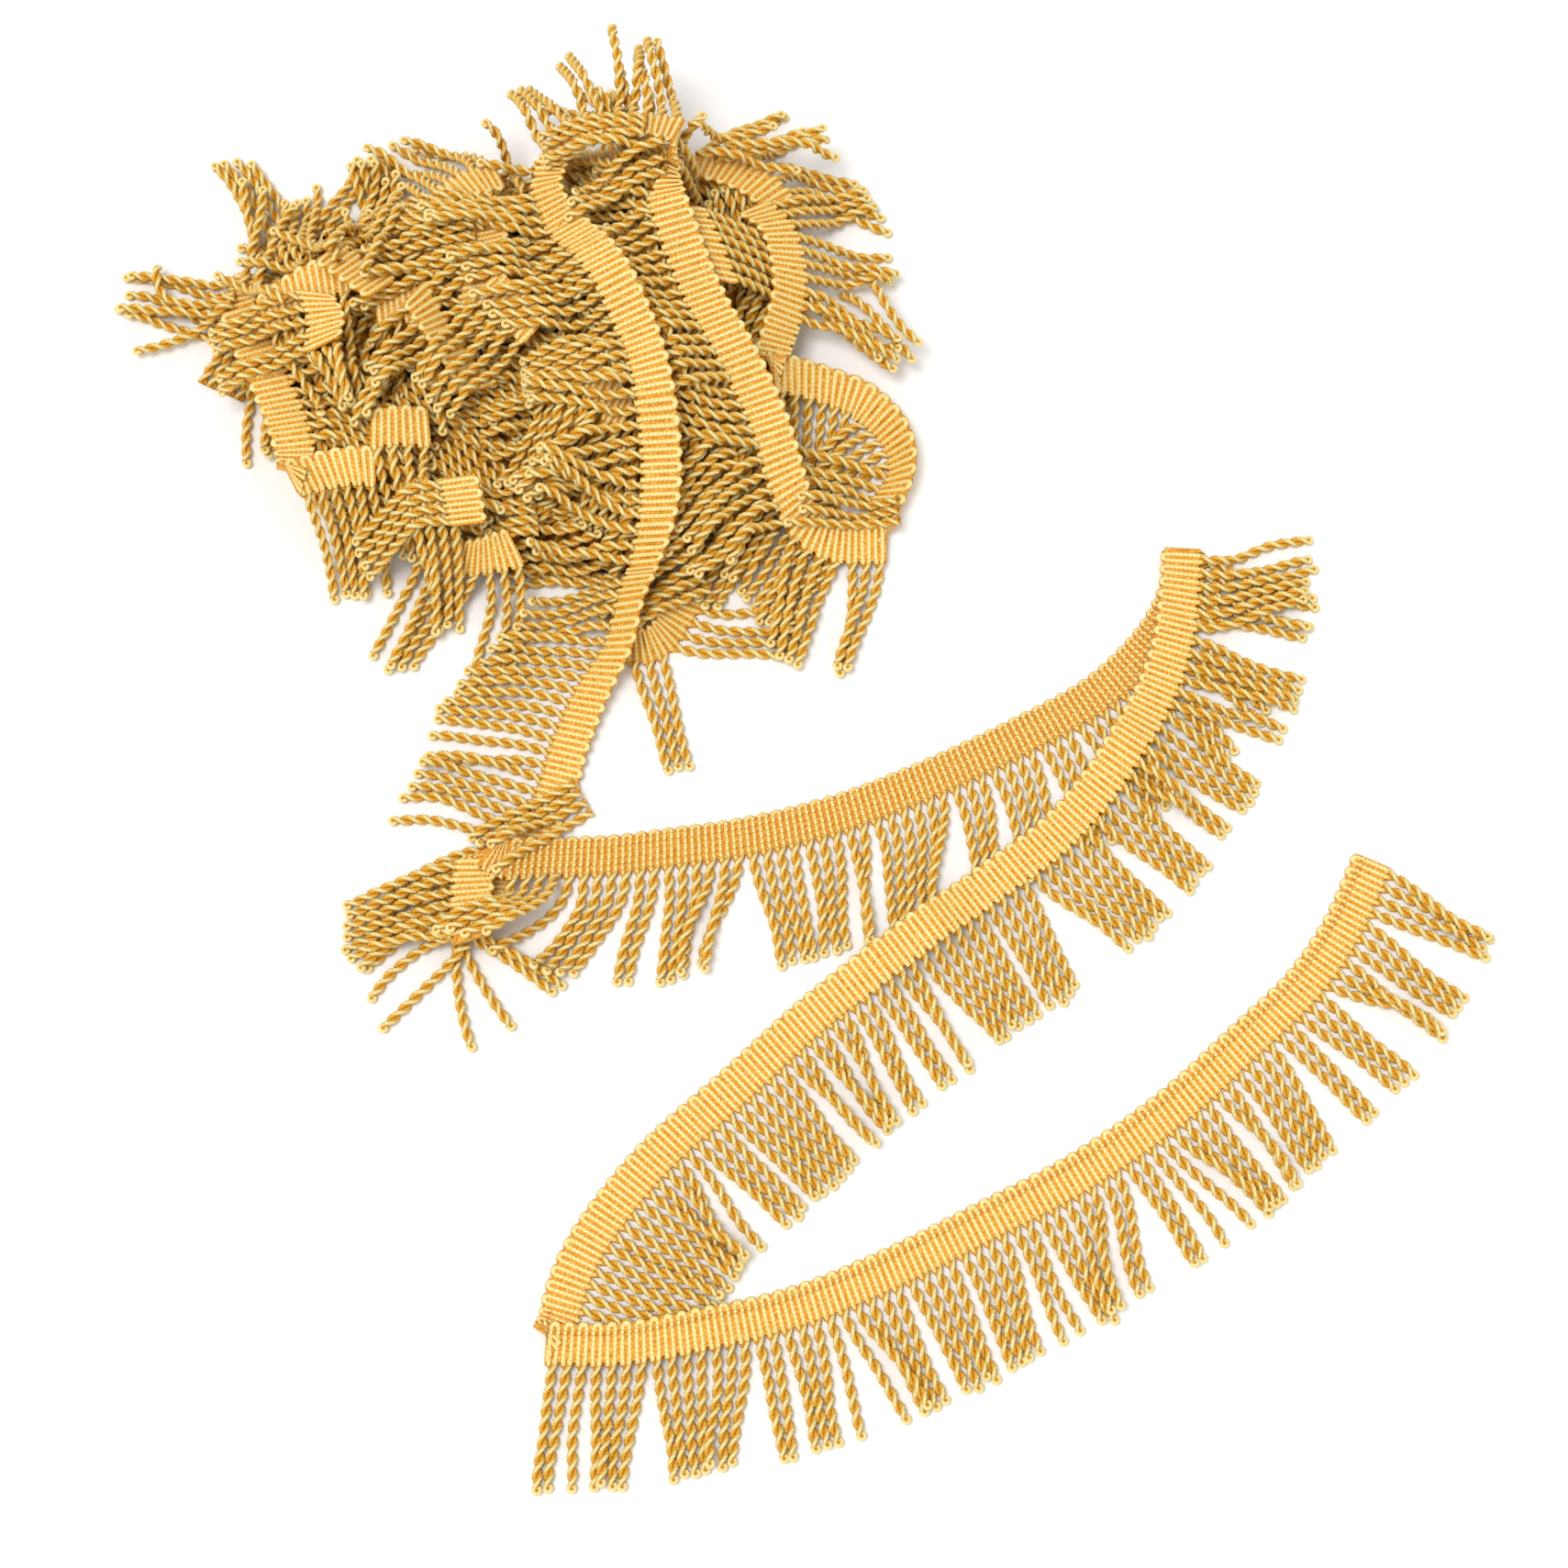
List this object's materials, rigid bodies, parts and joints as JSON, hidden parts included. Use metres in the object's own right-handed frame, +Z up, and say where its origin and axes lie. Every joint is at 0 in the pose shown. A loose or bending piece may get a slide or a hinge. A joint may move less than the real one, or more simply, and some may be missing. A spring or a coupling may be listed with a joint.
{
  "type": "fringe trim",
  "caption": "Twisted bullion fringe trim, one length: its knitted heading edged with looped cords, part of it in a tangled heap and the rest laid out in zigzag runs.",
  "frame": {"origin": "middle of the whole trim's bounding box, on the surface it lies on", "axes": "+X to the viewer's right, +Y away from the viewer, +Z up from the surface. The heap lies towards -X and +Y, and the free end towards +X."},
  "size_m": [0.4348, 0.4652, 0.0523],
  "materials": {
    "band_yarn": "gold satin yarn, knitted flat in hairpin loops",
    "cord_yarn": "gold satin yarn, two-ply twisted cords",
    "heap_yarn": "gold satin yarn, shaded inner turns"
  },
  "bodies": {
    "root": {"fringe_coil": "cord_yarn", "fringe_crest": "cord_yarn", "fringe_crown": "cord_yarn", "fringe_drape": "cord_yarn", "fringe_ear": "cord_yarn", "fringe_east": "cord_yarn", "fringe_foot": "cord_yarn", "fringe_inner": "cord_yarn", "fringe_knot": "cord_yarn", "fringe_left": "cord_yarn", "fringe_left_foot": "cord_yarn", "fringe_loop": "cord_yarn", "fringe_loop_side": "cord_yarn", "fringe_lower": "cord_yarn", "fringe_north": "cord_yarn", "fringe_north_east": "cord_yarn", "fringe_north_west": "cord_yarn", "fringe_ridge": "cord_yarn", "fringe_run_0": "cord_yarn", "fringe_run_1": "cord_yarn", "fringe_run_1_end": "cord_yarn", "fringe_run_2": "cord_yarn", "fringe_run_2_end": "cord_yarn", "fringe_run_2_middle": "cord_yarn", "fringe_run_3": "cord_yarn", "fringe_run_3_end": "cord_yarn", "fringe_saddle": "cord_yarn", "fringe_second": "cord_yarn", "fringe_shoulder": "cord_yarn", "fringe_slope": "cord_yarn", "fringe_top": "cord_yarn", "fringe_tuft": "cord_yarn", "fringe_turn": "cord_yarn", "fringe_under_top": "cord_yarn", "fringe_upper": "cord_yarn", "fringe_west": "cord_yarn", "heading": "band_yarn", "heading_coil": "band_yarn", "heading_crown": "band_yarn", "heading_drape": "band_yarn", "heading_ear": "band_yarn", "heading_east": "band_yarn", "heading_foot": "band_yarn", "heading_inner": "band_yarn", "heading_knot": "band_yarn", "heading_left": "band_yarn", "heading_lower": "band_yarn", "heading_north": "band_yarn", "heading_north_east": "band_yarn", "heading_north_west": "band_yarn", "heading_ridge": "band_yarn", "heading_saddle": "band_yarn", "heading_shoulder": "band_yarn", "heading_slope": "band_yarn", "heading_tuft": "band_yarn", "heading_under_top": "band_yarn", "heading_west": "band_yarn", "heap": "heap_yarn"}
  },
  "joints": []
}
